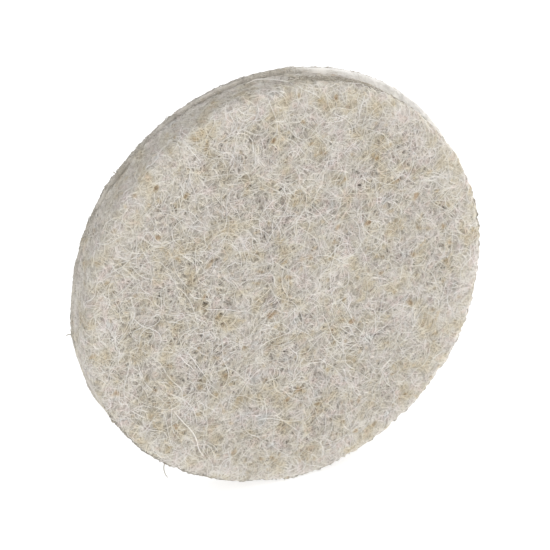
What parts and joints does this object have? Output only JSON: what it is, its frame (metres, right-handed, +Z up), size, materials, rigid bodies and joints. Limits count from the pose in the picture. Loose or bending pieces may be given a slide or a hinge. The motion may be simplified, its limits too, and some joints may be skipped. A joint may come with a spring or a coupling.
{
  "type": "felt polishing wheel",
  "caption": "Solid round disc of pressed wool felt with a flat working face and a softly rounded edge, glued to a slightly wider loop cloth that a hook pad grips.",
  "frame": {"origin": "centre of the felt disc, in the plane of the loop cloth's back, where a hook pad meets it", "axes": "+Y along the wheel's axis and out of the loop cloth's back, -Y out of the working face, +Z up with the wheel upright"},
  "size_m": [0.0507, 0.0052, 0.0506],
  "materials": {
    "wool_felt": "pressed natural wool, fibrous and matte",
    "glue": "thin hot-melt film, dull",
    "loop_cloth": "brushed knitted loop pile, matte"
  },
  "bodies": {
    "root": {"felt_disc": "wool_felt", "glue_film": "glue", "loop_backing": "loop_cloth"}
  },
  "joints": []
}
